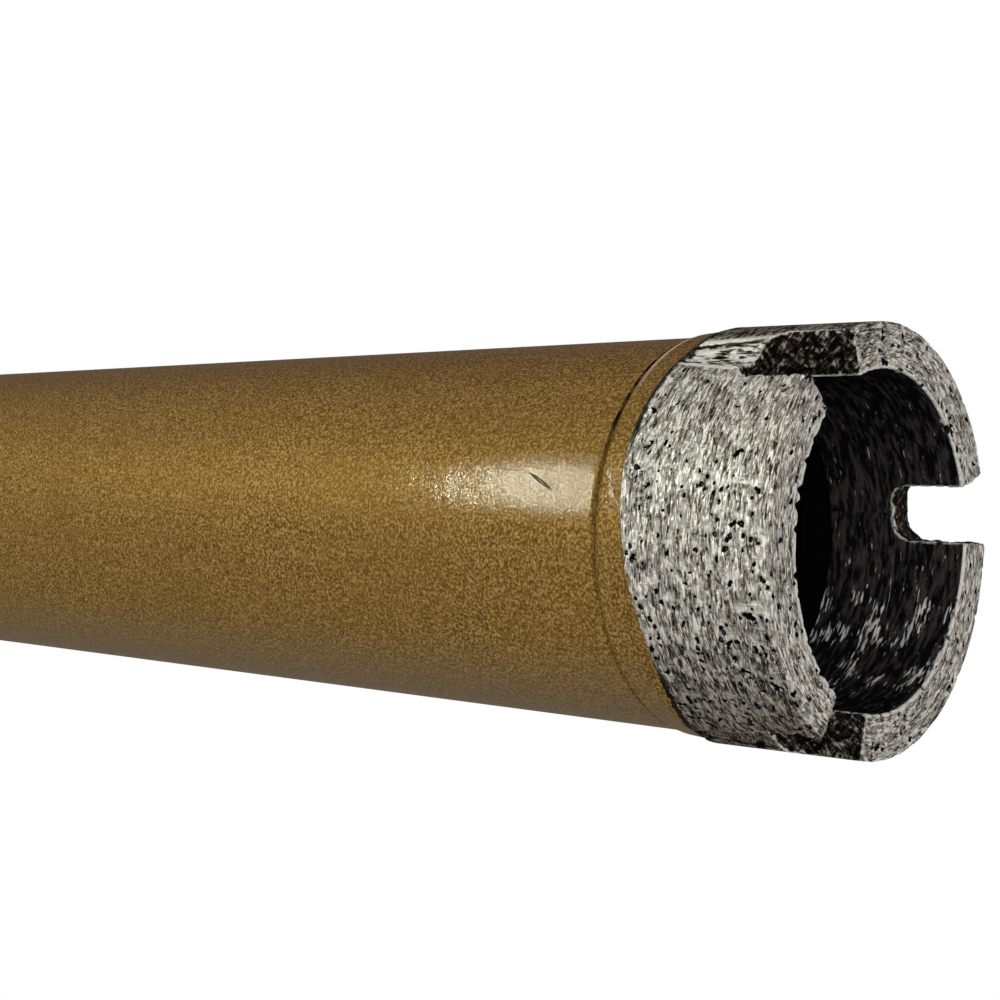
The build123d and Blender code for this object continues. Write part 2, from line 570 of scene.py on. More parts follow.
@dataclass(frozen=True)
class BronzePaint:
    """Metallic bronze-gold spray paint over steel, with painted shade inside the tube."""

    name: str = "bronze_paint"
    deep: Colour = (0.080, 0.040, 0.008)
    body: Colour = (0.200, 0.109, 0.024)
    flake: Colour = (0.430, 0.285, 0.090)
    film_ramp: Ramp = (0.32, 0.49, 0.67)
    # Painted shade: the inside of the tube is near black
    inside_shade: Colour = (0.003, 0.0026, 0.0024)
    inside_radius: float = 12.6 * MM

    flake_size: float = 0.19 * MM
    cloud_size: float = 9.0 * MM
    peel_size: float = 1.1 * MM
    wave_size: float = 4.5 * MM
    flake_relief: float = 0.026 * MM
    coat_relief: float = 0.012 * MM
    peel_relief: float = 0.024 * MM
    wave_relief: float = 0.05 * MM

    shade_tint: Colour = (0.66, 0.56, 0.55)
    shaded_side: Pair = (-9.5 * MM, -13.3 * MM)
    # Painted reflection: a pale, greyer tint on the +X side stands for the white floor mirrored there
    painted_pale_side: Colour = (0.185, 0.140, 0.095)
    reflection_side: Pair = (7.0 * MM, 13.2 * MM)
    reflection_share: float = 0.6

    # Painted highlight: a pale band on the -X side of the carrier's rounded shoulder stands for the
    # light its edge catches
    shoulder_highlight: Colour = (0.62, 0.50, 0.40)
    shoulder_highlight_share: float = 0.85
    highlight_side: Pair = (-9.0 * MM, -12.0 * MM)
    highlight_patch_size: float = 1.4 * MM
    shoulder_start: Pair = (356.82 * MM, 356.98 * MM)
    shoulder_end: Pair = (357.47 * MM, 357.63 * MM)

    nick_dark: Colour = (0.016, 0.008, 0.003)
    nick_azimuth: float = 255.0
    nick_height: float = 352.1 * MM
    nick_length: float = 1.15 * MM
    nick_width: float = 0.11 * MM
    nick_depth: float = 0.08 * MM
    nick_slant: float = 62.0
    radius: float = 13.55 * MM

    def tone(self, g: Graph) -> tuple[Socket, Socket]:
        """Colour of the sprayed film.

        Args:
            g: The material's graph.

        Returns:
            The colour, and the flakes' pattern.
        """
        flakes = g.noise(g.place, self.flake_size, detail=1.5, roughness=0.55)
        clouds = g.noise(g.place, self.cloud_size, detail=3.0)
        film = g.ramp(flakes, self.film_ramp, self.deep, self.body, self.flake)
        return g.mix(g.range(clouds, 0.35, 0.65, 0.0, 0.3), film, self.body), flakes

    def material(self) -> Material:
        """Build the paint.

        Returns:
            The material.
        """
        g = Graph(bpy.data.materials.new(self.name))
        tone, flakes = self.tone(g)
        sheet = g.around_axis(self.nick_azimuth - 180.0, self.radius)
        nick = self.nick(g, sheet)
        tone = g.mix(nick, self.weather(g, tone), self.nick_dark)
        # Painted shade inside the tube
        inside = g.math("LESS_THAN", g.parts(sheet)[1], self.inside_radius)
        tone = g.mix(inside, tone, self.inside_shade)
        smooth = g.bump(g.noise(g.place, self.wave_size, detail=0.0), self.wave_relief)
        smooth = g.bump(g.noise(g.place, self.peel_size, detail=1.0), self.peel_relief, smooth)
        smooth = g.bump(g.minus(1.0, nick), self.nick_depth, smooth)
        return g.surface(
            Base_Color=tone, Roughness=g.range(flakes, 0.3, 0.7, 0.44, 0.56), Metallic=0.05,
            Specular_IOR_Level=0.0, Normal=g.bump(flakes, self.flake_relief, smooth),
            Coat_Weight=0.05, Coat_Roughness=0.055,
            Coat_Normal=g.bump(flakes, self.coat_relief, smooth),
        )

    def weather(self, g: Graph, tone: Socket) -> Socket:
        """Paint shade on one side, a pale reflection on the other, and a highlight on the carrier's
        shoulder.

        Args:
            g: The material's graph.
            tone: The film's colour.

        Returns:
            The colour.
        """
        side, _, height = g.parts(g.place)
        shaded = g.mix(1.0, tone, self.shade_tint, blend="MULTIPLY")
        tone = g.mix(g.range(side, *self.shaded_side), tone, shaded)
        # Painted reflection on the +X side
        tone = g.mix(g.range(side, *self.reflection_side, 0.0, self.reflection_share), tone, self.painted_pale_side)
        # Painted highlight in patches on the shoulder, on the -X side
        patches = g.range(g.noise(g.place, self.highlight_patch_size), 0.25, 0.40)
        wear_and_highlight = g.times(g.range(side, *self.highlight_side), patches)
        wear_and_highlight = g.times(wear_and_highlight, g.band(height, self.shoulder_start, self.shoulder_end))
        return g.mix(g.times(wear_and_highlight, self.shoulder_highlight_share), tone, self.shoulder_highlight)

    def nick(self, g: Graph, sheet: Socket) -> Socket:
        """Share of one short scratch through the film.

        Args:
            g: The material's graph.
            sheet: Place on the skin unrolled round the axis, from the scratch's azimuth.

        Returns:
            One in the scratch and zero outside it.
        """
        slant = math.radians(self.nick_slant)
        cosine, sine = math.cos(slant), math.sin(slant)
        across, _, height = g.parts(sheet)
        rise = g.minus(height, self.nick_height)
        along = g.plus(g.times(across, cosine), g.times(rise, sine))
        aside = g.minus(g.times(rise, cosine), g.times(across, sine))
        length = g.math("DIVIDE", along, self.nick_length)
        width = g.math("DIVIDE", aside, self.nick_width)
        return g.range(g.squares(length, width), 0.1, 1.2, 1.0, 0.0)


@dataclass(frozen=True)
class SinteredMatrix:
    """Grey metal bond of the crown, streaked round the axis, dark where it was cut, with painted shade
    and painted light over its skin.
    """

    name: str = "sintered_matrix"
    paint: BronzePaint = field(default_factory=BronzePaint)
    seam: float = 98.5
    radius: float = 14.0 * MM

    black: Colour = (0.030, 0.025, 0.020)
    dark: Colour = (0.078, 0.069, 0.057)
    middle: Colour = (0.208, 0.190, 0.160)
    light: Colour = (0.345, 0.320, 0.275)
    bright: Colour = (0.80, 0.76, 0.68)
    skin_ramp: Ramp = (0.378, 0.414, 0.446, 0.545, 0.614)
    streak_size: Size = (0.85 * MM, 0.205 * MM, 0.205 * MM)
    speck_size: float = 0.15 * MM
    patch_size: float = 1.6 * MM
    skin_relief: float = 0.25 * MM

    # The pits' near-black colour is painted shade in the holes left by grains
    pit: Colour = (0.003, 0.0025, 0.002)
    # Light of wear, used also for painted highlights
    wear_and_highlight: Colour = (0.80, 0.77, 0.69)
    # Painted shadow, for cracks and dark lines
    painted_shadow: Colour = (0.008, 0.005, 0.003)
    # Painted shade: the colour that darkens the skin towards the shaded side
    painted_shading: Colour = (0.30, 0.27, 0.235)
    shading_contrast: float = 0.9
    shading_shift: float = 0.034

    torn_ramp: Ramp = (0.36, 0.42, 0.455, 0.52)
    lump_size: Size = (0.34 * MM, 0.34 * MM, 1.2 * MM)

    # The slot walls' dark is partly their own rough colour and partly painted shade
    cut_dark_shade: Colour = (0.004, 0.003, 0.0025)
    cut_middle: Colour = (0.046, 0.034, 0.027)
    cut_bright: Colour = (0.46, 0.41, 0.35)
    cut_ramp: Ramp = (0.485, 0.565, 0.665)
    crumb_size: float = 0.50 * MM
    cut_scratch_size: Size = (1.6 * MM, 0.16 * MM, 1.0)

    # Painted shade: the bore is painted near black
    bore_shade: Colour = (0.0045, 0.0045, 0.0050)
    bore_shade_grey: Colour = (0.042, 0.038, 0.037)
    bore_bright: Colour = (0.62, 0.61, 0.59)
    bore_ramp: Ramp = (0.53, 0.74)
    bore_scratch_size: Size = (1.2 * MM, 0.17 * MM, 0.17 * MM)
    haze_size: Size = (1.6 * MM, 0.3 * MM, 0.3 * MM)

    ragged_size: float = 0.35 * MM
    ragged_reach: float = 0.09
    shadow_line_side: Pair = (5.5 * MM, 8.0 * MM)
    shadow_line_middle: float = 1.0 * MM

    def material(self) -> Material:
        """Build the sintered metal.

        Returns:
            The material.
        """
        g = Graph(bpy.data.materials.new(self.name))
        sheet = g.around_axis(self.seam, self.radius)
        # This mask holds painted shade above zero and painted light below it
        painted_shading = g.attribute("painted_shading")
        pattern = self.pattern(g, sheet)
        shade_contrast_share = g.times(g.math("MAXIMUM", painted_shading, 0.0), self.shading_contrast)
        spread = g.times(g.minus(pattern, 0.49), shade_contrast_share)
        level = g.minus(g.plus(pattern, spread), g.times(painted_shading, self.shading_shift))
        tones = (self.black, self.dark, self.middle, self.light, self.bright)
        tone = g.ramp(level, self.skin_ramp, *tones)
        tone = g.mix(g.times(g.attribute("tail"), 0.9), tone, self.wear_and_highlight)
        tone = self.dress_flute(g, sheet, tone)
        tone = g.mix(painted_shading, tone, g.mix(1.0, tone, self.painted_shading, blend="MULTIPLY"))
        tone = g.mix(g.attribute("cut"), tone, self.cut_tone(g, sheet))
        tone = g.mix(g.attribute("bore"), tone, self.bore_tone(g, sheet))
        tone = g.mix(g.range(g.attribute("edge"), 0.05, 0.20, 0.0, 0.85), tone, self.wear_and_highlight)
        # Painted shade in the pits
        tone = g.mix(g.range(g.attribute("pit"), 0.0, 0.15), tone, self.pit)
        return g.surface(
            Base_Color=self.paint_root(g, tone), Metallic=0.11, Specular_IOR_Level=0.0,
            Roughness=g.range(pattern, 0.35, 0.65, 0.60, 0.42),
            Normal=g.bump(pattern, self.skin_relief),
        )

    def pattern(self, g: Graph, sheet: Socket) -> Socket:
        """Relief of the ground skin: streaks, specks and patches.

        Args:
            g: The material's graph.
            sheet: Place on the skin unrolled round the axis.

        Returns:
            A number around a half, high on the bright ridges.
        """
        streaks = g.noise(sheet, self.streak_size, detail=1.2, distortion=1.1)
        specks = g.noise(g.place, self.speck_size, detail=1.0, roughness=0.6)
        patches = g.noise(g.place, self.patch_size)
        level = g.plus(g.times(streaks, 0.78), g.times(specks, 0.22))
        return g.plus(level, g.times(g.minus(patches, 0.5), 0.05))

    def dress_flute(self, g: Graph, sheet: Socket, tone: Socket) -> Socket:
        """Lay torn lumps over the flutes, with painted shadow in their cracks and in a line inside each
        flute, and a painted highlight along each flute's near edge.

        Args:
            g: The material's graph.
            sheet: Place on the skin unrolled round the axis.
            tone: The skin's colour.

        Returns:
            The colour.
        """
        lumps = g.noise(sheet, self.lump_size, roughness=0.6, distortion=0.6)
        torn = g.ramp(lumps, self.torn_ramp, self.painted_shadow, self.dark, self.middle, self.wear_and_highlight)
        # The flutes are darkened where shade is painted
        clear = g.range(g.attribute("painted_shading"), 0.2, 1.0, 1.0, 0.15)
        tone = g.mix(g.times(g.attribute("flute"), clear), tone, torn)
        depth = g.plus(g.attribute("groove"), g.times(lumps, 0.30))
        # Painted shadow: a dark line inside each flute
        seam = g.band(depth, (0.44, 0.50), (0.64, 0.72))
        tone = g.mix(g.times(seam, 0.9), tone, self.painted_shadow)
        # Painted highlight along each flute's near edge
        lip_highlight = g.band(depth, (-0.04, 0.02), (0.40, 0.46))
        return g.mix(g.times(lip_highlight, g.times(clear, 0.85)), tone, self.wear_and_highlight)

    def cut_tone(self, g: Graph, sheet: Socket) -> Socket:
        """Dark torn walls of the slots, partly their own dark and partly painted shade, with slanting
        scratches and bright crumbs.

        Args:
            g: The material's graph.
            sheet: Place on the skin unrolled round the axis.

        Returns:
            The colour.
        """
        crumbs = g.noise(g.place, self.crumb_size, detail=3.0, roughness=0.65)
        _, radius, height = g.parts(sheet)
        slanted = g.vector(g.plus(radius, height), g.minus(radius, height), 0.0)
        scratches = g.noise(slanted, self.cut_scratch_size, detail=1.0)
        level = g.plus(g.times(crumbs, 0.62), g.times(scratches, 0.38))
        return g.ramp(level, self.cut_ramp, self.cut_dark_shade, self.cut_middle, self.cut_bright)

    def bore_tone(self, g: Graph, sheet: Socket) -> Socket:
        """Bore painted near black as shade, greyer on one side, with patches of bright scratches.

        Args:
            g: The material's graph.
            sheet: Place on the skin unrolled round the axis.

        Returns:
            The colour.
        """
        scratches = g.noise(sheet, self.bore_scratch_size, detail=1.0, distortion=0.4)
        # The bore's painted shade is greyer on one side
        haze = g.plus(g.noise(sheet, self.haze_size), g.times(g.attribute("painted_pale_side"), 0.12))
        base = g.ramp(haze, self.bore_ramp, self.bore_shade, self.bore_shade_grey)
        level = g.plus(scratches, g.times(g.attribute("rub"), 0.24))
        return g.mix(g.range(level, 0.72, 0.85), base, self.bore_bright)

    def paint_root(self, g: Graph, tone: Socket) -> Socket:
        """Carry the carrier's paint onto the crown's root, with a painted shadow line at its edge.

        Args:
            g: The material's graph.
            tone: The crown's colour.

        Returns:
            The colour.
        """
        film, _ = self.paint.tone(g)
        ragged = g.noise(g.place, self.ragged_size)
        ragged = g.range(ragged, 0.3, 0.7, -self.ragged_reach, self.ragged_reach)
        reach = g.plus(g.attribute("paint"), ragged)
        tone = g.mix(g.range(reach, -0.02, 0.02), tone, film)
        # Painted shadow of the crown's step along the paint's edge, strongest far from the middle in X
        line = g.band(reach, (-0.44, -0.32), (0.02, 0.07))
        side = g.math("ABSOLUTE", g.minus(g.parts(g.place)[0], self.shadow_line_middle))
        strength = g.range(side, *self.shadow_line_side, 0.12, 0.95)
        return g.mix(g.times(line, strength), tone, self.painted_shadow)


@dataclass(frozen=True)
class DarkGrit:
    """Dark diamond grains."""

    name: str = "diamond_grit"
    tone: Colour = (0.008, 0.007, 0.006)
    glint: Colour = (0.03, 0.028, 0.025)
    grain_size: float = 0.1 * MM

    def material(self) -> Material:
        """Build the grit.

        Returns:
            The material.
        """
        g = Graph(bpy.data.materials.new(self.name))
        tone = g.ramp(g.noise(g.place, self.grain_size), (0.4, 0.7), self.tone, self.glint)
        return g.surface(Base_Color=tone, Roughness=0.6, Specular_IOR_Level=0.2)


@dataclass(frozen=True)
class TurnedSteel:
    """Bare lathe-turned steel under a film of oil."""

    name: str = "turned_steel"
    tone: Colour = (0.42, 0.41, 0.39)
    stain: Colour = (0.25, 0.22, 0.19)
    groove: Colour = (0.2, 0.19, 0.18)
    seam: float = 90.0
    radius: float = 16.0 * MM
    groove_size: Size = (12.0 * MM, 0.16 * MM, 0.16 * MM)
    groove_relief: float = 0.012 * MM
    stain_size: float = 7.0 * MM

    def material(self) -> Material:
        """Build the steel.

        Returns:
            The material.
        """
        g = Graph(bpy.data.materials.new(self.name))
        sheet = g.around_axis(self.seam, self.radius)
        grooves = g.noise(sheet, self.groove_size)
        stains = g.noise(g.place, self.stain_size, detail=4.0, roughness=0.6)
        tone = g.mix(g.range(stains, 0.45, 0.75, 0.0, 0.40), self.tone, self.stain)
        tone = g.mix(g.range(grooves, 0.35, 0.65, 0.0, 0.25), tone, self.groove)
        return g.surface(
            Base_Color=tone, Metallic=1.0, Roughness=g.range(stains, 0.3, 0.7, 0.28, 0.46),
            Normal=g.bump(grooves, self.groove_relief),
        )


@dataclass(frozen=True)
class BrazeFiller:
    """Brazing metal in the seam under the paint, with patchy painted shade along the seam, strongest on
    the -X side.
    """

    name: str = "braze_filler"
    paint: BronzePaint = field(default_factory=BronzePaint)
    # Painted shade: the near-black colour stands for the shadow in the seam's groove
    seam_shade: Colour = (0.010, 0.006, 0.003)
    seam_shade_size: float = 1.5 * MM
    shaded_seam_side: Pair = (-4.0 * MM, -7.5 * MM)
    grain_size: float = 0.4 * MM
    grain_relief: float = 0.02 * MM

    def material(self) -> Material:
        """Build the filler.

        Returns:
            The material.
        """
        g = Graph(bpy.data.materials.new(self.name))
        film, _ = self.paint.tone(g)
        # Painted shade in patches, strongest on the -X side
        seam_patches = g.noise(g.place, self.seam_shade_size, detail=3.0, roughness=0.7)
        side = g.range(g.parts(g.place)[0], *self.shaded_seam_side, 0.28, 1.0)
        share = g.times(g.range(seam_patches, 0.30, 0.50, 0.45, 1.0), side)
        return g.surface(
            Base_Color=g.mix(share, film, self.seam_shade), Roughness=0.7, Specular_IOR_Level=0.0,
            Normal=g.bump(g.noise(g.place, self.grain_size), self.grain_relief),
        )


# ------------------------------------------------------------------ pieces


@dataclass(frozen=True)
class Pit:
    """A hole left by a diamond grain, with its own axes on the crown's skin."""

    centre: Vector
    along: Vector
    across: Vector
    outwards: Vector
    half_length: float
    half_width: float
    depth: float


@dataclass(frozen=True)
class Wave:
    """One wave round the crown: how many times it repeats, its height and its crest's azimuth."""

    count: int
    rise: float
    crest: float


@dataclass
class CuttingCrown:
    """The sintered crown with its chipped edges, pits and diamond grit."""

    finish: SinteredMatrix = field(default_factory=SinteredMatrix)
    grit_finish: DarkGrit = field(default_factory=DarkGrit)
    slot_azimuths: tuple[float, ...] = (98.5, 211.8, 337.9)
    slot_angles: tuple[float, ...] = (20.0, 23.5, 20.4)
    outer_radius: float = 14.0 * MM
    root_radius: float = 14.1 * MM
    bore_radius: float = 11.0 * MM
    slot_depth: float = 5.5 * MM
    flute_half_widths: Pair = (1.35 * MM, 2.20 * MM)
    root_waves: tuple[Wave, ...] = (
        Wave(2, 0.28 * MM, -53.0), Wave(3, 0.38 * MM, 59.0), Wave(4, 0.23 * MM, 36.0),
    )

    # Where round the crown each kind of wear, painted shade and painted light is strongest
    crowded_azimuth: float = 330.0
    shaded_azimuth: float = 342.0
    lit_azimuth: float = 222.0
    shaded_strip_azimuth: float = 192.0
    worn_rim_azimuth: float = 275.0
    rubbed_azimuth: float = 48.0
    pale_bore_azimuth: float = 92.0

    voxel: float = 0.12 * MM
    triangles: int = 194000
    pit_count: int = 620
    face_pit_count: int = 130
    pit_radius: Pair = (0.11 * MM, 0.21 * MM)
    pit_depth: float = 0.22 * MM
    pit_wobble: float = 0.14 * MM
    tail_length: float = 1.1 * MM
    tail_width: float = 0.15 * MM
    cut_roughness: float = 0.13 * MM
    skin_roughness: float = 0.035 * MM
    streak_size: Size = (1.1 * MM, 0.28 * MM, 0.28 * MM)
    rib_size: Size = (0.3 * MM, 0.3 * MM, 1.4 * MM)
    rub_size: Size = (2.8 * MM, 1.6 * MM, 1.6 * MM)
    lump_size: float = 0.45 * MM
    wave_size: float = 1.7 * MM
    sparse_share: float = 0.35
    slot_chips: int = 4
    slot_chip_step: float = 0.24
    slot_chip_size: float = 0.20

    # What tells the surfaces apart
    steep: float = 0.35
    sideways: float = 0.75
    bore_band: float = 0.25 * MM
    floor_margin: float = 0.2 * MM
    floor_band: float = 1.6 * MM
    flute_band: float = 1.2 * MM
    flute_sink: float = 0.08 * MM
    slot_margin: float = 1.0
    grit_margin: float = 2.5
    rim_wear_level: float = 0.4
    face_wear_width: float = 0.5 * MM
    unworn_root: float = 0.6 * MM
    skin_start: float = 13.5 * MM
    paint_start: float = 13.4 * MM
    rim_start: float = 13.3 * MM
    rim_fade: float = 0.3 * MM
    rim_height: float = 1.8 * MM
    carrier_clearance: float = 13.97 * MM
    grit_share: float = 0.35
    least_grit_pit: float = 0.15 * MM
    grit_to_pit: float = 0.75
    seed: int = 7

    def __post_init__(self) -> None:
        """Take the crown's heights from the frame and start its random numbers."""
        low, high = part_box("diamond_crown")
        self.root_height, self.face_height = low.z, high.z
        self.slot_floor = self.face_height - self.slot_depth
        self.random = random.Random(self.seed)
        self.pits: list[Pit] = []

    def build(self) -> None:
        """Build and dress the crown and its grit."""
        crown = copy_node("diamond_crown", "sintered_crown")
        self.chip(crown)
        apply_modifier(crown, "REMESH", mode="VOXEL", voxel_size=self.voxel)
        self.scatter_pits()
        self.roughen(crown.data)
        apply_modifier(crown, "DECIMATE", ratio=self.triangles / (2 * len(crown.data.polygons)))
        self.mark_regions(crown.data)
        shade(crown, 50.0)
        finish_piece(crown, self.finish.material(), "crown_matrix", "diamond_crown")
        self.add_grit()

    # -------------------------------------------------------------- chipped edges

    def chip(self, crown: Object) -> None:
        """Break small chips out of the crown's edges.

        Args:
            crown: The crown.
        """
        draw = self.random
        chips = []
        # Radius and height of each edge, its chips' spacing and stray in degrees, and their size
        rings = (
            (self.bore_radius, self.face_height, 7.0, 3, 0.22),
            (self.outer_radius, self.face_height, 13.0, 5, 0.16),
            (self.root_radius, self.root_height, 17.0, 6, 0.12),
        )
        for radius, height, spacing, stray, size in rings:
            for azimuth in np.arange(0.0, 360.0, spacing):
                chips.append((radius, azimuth + draw.uniform(-stray, stray), height, size))
        for azimuth, angle in zip(self.slot_azimuths, self.slot_angles):
            for side in (azimuth - angle / 2, azimuth + angle / 2):
                for radius in (self.bore_radius, self.outer_radius):
                    for step in range(self.slot_chips):
                        share = (step + draw.random()) * self.slot_chip_step
                        height = self.face_height - share * self.slot_depth
                        chips.append((radius, side, height, self.slot_chip_size))
        cutters = [self.chip_cutter(*chip) for chip in chips]
        join(*cutters)
        cut_away(crown, cutters[0])

    def chip_cutter(self, radius: float, azimuth: float, height: float, size: float) -> Object:
        """Make one rough, flattened ball that breaks a chip out of an edge.

        Args:
            radius: Its distance from the axis.
            azimuth: Its azimuth in degrees.
            height: Its height.
            size: Its mean radius in millimetres.

        Returns:
            The cutter.
        """
        draw = self.random
        deselect()
        ball = size * MM * draw.uniform(0.5, 1.5)
        bpy.ops.mesh.primitive_ico_sphere_add(
            subdivisions=2, radius=ball, location=polar(radius, azimuth, height),
            rotation=[draw.uniform(0, math.tau) for _ in range(3)],
            scale=(1.0, draw.uniform(0.5, 1.0), draw.uniform(0.8, 2.0)),
        )
        cutter = take_primitive("chip")
        for vertex in cutter.data.vertices:
            vertex.co += Vector([draw.uniform(-0.18, 0.18) * ball for _ in range(3)])
        return cutter

    # -------------------------------------------------------------- pits

    def scatter_pits(self) -> None:
        """Choose the pits of the skin and the cutting face."""
        draw = self.random
        while len(self.pits) < self.pit_count:
            azimuth = draw.uniform(0.0, 360.0)
            towards = math.cos(math.radians(azimuth - self.crowded_azimuth))
            if draw.random() > self.sparse_share + (1 - self.sparse_share) * max(0.0, towards) ** 0.7:
                continue
            height = draw.uniform(self.root_height + 0.15 * MM, self.face_height - 0.1 * MM)
            self.add_pit(polar(self.skin_radius(height), azimuth, height), polar(1.0, azimuth, 0.0), UP)
        for _ in range(self.face_pit_count):
            azimuth = draw.uniform(0.0, 360.0)
            radius = draw.uniform(self.bore_radius + 0.2 * MM, self.outer_radius - 0.2 * MM)
            self.add_pit(polar(radius, azimuth, self.face_height), UP, polar(1.0, azimuth, 0.0))

    def skin_radius(self, height: float | np.ndarray) -> float | np.ndarray:
        """Radius of the crown's skin at a height, or at an array of heights."""
        share = (height - self.root_height) / (self.face_height - self.root_height)
        return self.root_radius + share * (self.outer_radius - self.root_radius)

    def add_pit(self, centre: Vector, outwards: Vector, sideways: Vector) -> None:
        """Draw one pit's size and turn.

        Args:
            centre: Its place on the skin.
            outwards: The skin's normal there.
            sideways: A direction in the skin, at right angles to the streaks.
        """
        draw = self.random
        turn = draw.gauss(0.0, 0.5)
        streak = outwards.cross(sideways).normalized()
        along = math.cos(turn) * streak + math.sin(turn) * sideways
        low, high = self.pit_radius
        half_width = low + (high - low) * draw.random() ** 1.6
        half_length = half_width * draw.choice((1.0, 1.15, 1.4, 1.9))
        depth = self.pit_depth * draw.uniform(0.6, 1.3) * half_width / high
        self.pits.append(
            Pit(centre, along, outwards.cross(along), outwards, half_length, half_width, depth)
        )

    def pit_fields(self, places: np.ndarray) -> tuple[np.ndarray, np.ndarray, np.ndarray]:
        """Work out how the pits shape and mark the skin.

        Args:
            places: Places on the skin.

        Returns:
            Depth, darkness from 0 at a pit's rim to 1 at its middle and below 0 outside, and
            the share of a bright drag mark behind a pit.
        """
        angles = angles_of(places)
        order = np.argsort(angles)
        ordered = angles[order]
        wobble = noise_at(places, self.pit_wobble, 3.0)
        depth = np.zeros(len(places))
        dark = np.full(len(places), -1.0)
        tail = np.zeros(len(places))
        for pit in self.pits:
            middle = math.atan2(pit.centre.y, pit.centre.x)
            reach = (self.tail_length + 2 * pit.half_length) / self.bore_radius
            first, last = np.searchsorted(ordered, (middle - reach, middle + reach))
            index = order[first:last]
            offset = places[index] - np.array(pit.centre)
            length = offset @ np.array(pit.along)
            width = offset @ np.array(pit.across)
            beyond = np.abs(offset @ np.array(pit.outwards)) > 0.4 * MM
            distance = np.hypot(length / pit.half_length, width / pit.half_width)
            near = 1.0 - distance * (1.0 + 0.7 * wobble[index])
            near[beyond] = -1.0
            bowl = np.clip(near * 1.6, 0.0, 1.0)
            depth[index] = np.maximum(depth[index], pit.depth * bowl * bowl * (3 - 2 * bowl))
            dark[index] = np.maximum(dark[index], near)
            behind = (length - 0.9 * pit.half_length) / self.tail_length
            drag = np.exp(-((width / self.tail_width) ** 2)) * np.clip(4 * behind, 0, 1)
            drag *= np.clip(1.4 - 1.4 * behind, 0, 1)
            drag[beyond] = 0.0
            tail[index] = np.maximum(tail[index], drag)
        return depth, dark, tail

    # -------------------------------------------------------------- skin

    def unrolled(self, places: np.ndarray) -> np.ndarray:
        """Unroll places round the bit's axis.

        Args:
            places: The places.

        Returns:
            Length round the axis, radius and height of each.
        """
        turn = angles_of(places) - math.radians(self.slot_azimuths[0] - 180.0)
        turn = (turn + math.pi) % math.tau - math.pi
        return np.stack([turn * self.outer_radius, radii_of(places), places[:, 2]], axis=1)

    def regions(self, mesh: Mesh) -> dict[Region, np.ndarray]:
        """Tell the crown's surfaces apart.

        Args:
            mesh: The crown's mesh.

        Returns:
            For each region, true for the vertices in it.
        """
        places, normals = vertex_array(mesh, "co"), vertex_array(mesh, "normal")
        radii, heights = radii_of(places), places[:, 2]
        outwards = (normals[:, 0] * places[:, 0] + normals[:, 1] * places[:, 1]) / radii
        bore = (radii < self.bore_radius + self.bore_band) & (outwards < -self.steep)
        azimuths = np.degrees(angles_of(places))
        upright = radii_of(normals) > self.steep
        near_floor = heights < self.slot_floor + self.floor_band
        worked = (upright | near_floor) & (heights > self.slot_floor - self.floor_margin)
        cut = np.zeros(len(places), bool)
        for azimuth, angle in zip(self.slot_azimuths, self.slot_angles):
            inside = np.abs(turn_from(azimuth, azimuths)) < angle / 2 + self.slot_margin
            cut |= inside & worked & (np.abs(outwards) < self.sideways)
        sunk = radii < self.skin_radius(heights) - self.flute_sink
        flute = (outwards > self.steep) & ~cut & sunk
        flute &= heights < self.slot_floor + self.flute_band
        return {Region.BORE: bore, Region.CUT: cut, Region.FLUTE: flute}

    def roughen(self, mesh: Mesh) -> None:
        """Press in the pits and roughen each surface as it was worked.

        Args:
            mesh: The crown's mesh.
        """
        places, normals = vertex_array(mesh, "co"), vertex_array(mesh, "normal")
        regions = self.regions(mesh)
        depth, _, tail = self.pit_fields(places)
        sheet = self.unrolled(places)
        streaks = noise_at(sheet, self.streak_size)
        lumps = noise_at(places, self.lump_size, 5.0)
        waves = noise_at(places, self.wave_size, 9.0)
        ribs = noise_at(sheet, self.rib_size, 2.0)
        rise = self.skin_roughness * (streaks + 0.8 * tail) - depth
        for region, rough in (
            (Region.CUT, self.cut_roughness * (0.8 * lumps + 1.0 * waves)),
            (Region.FLUTE, self.cut_roughness * (0.7 * ribs + 0.4 * lumps)),
            (Region.BORE, 0.5 * self.skin_roughness * waves),
        ):
            rise = np.where(regions[region], rough, rise)
        under = places[:, 2] < self.root_height + 0.05 * MM
        rise[under & (normals[:, 2] < -0.5)] = 0.0
        move_vertices(mesh, self.shape_root(places, places + normals * rise[:, None]))

    def shape_root(self, places: np.ndarray, moved: np.ndarray) -> np.ndarray:
        """Keep the roughened skin in the crown's bounds, and lower the root's rim.

        Args:
            places: The vertices' places before they were moved.
            moved: Their places after it.

        Returns:
            Their last places.
        """
        # The root's rim hangs over the carrier where its edge is low
        lowered = np.minimum(self.root_edge(places) - self.root_height, 0.0)
        near_rim = np.clip(1.0 - (places[:, 2] - self.root_height) / self.rim_height, 0.0, 1.0)
        near_rim *= np.clip((radii_of(places) - self.rim_start) / self.rim_fade, 0.0, 1.0)
        limit = self.skin_radius(moved[:, 2]) - 0.01 * MM
        moved[:, :2] *= np.minimum(1.0, limit / radii_of(moved))[:, None]
        moved[:, 2] = np.clip(moved[:, 2], self.root_height, self.face_height) + near_rim * lowered
        # The overhanging rim stays outside the carrier's skin
        radii = radii_of(moved)
        over = (lowered < -0.05 * MM) & (moved[:, 2] < self.root_height + 0.2 * MM)
        over &= radii > self.skin_start
        lifted = np.where(over, np.maximum(radii, self.carrier_clearance), radii)
        moved[:, :2] *= (lifted / radii)[:, None]
        return moved

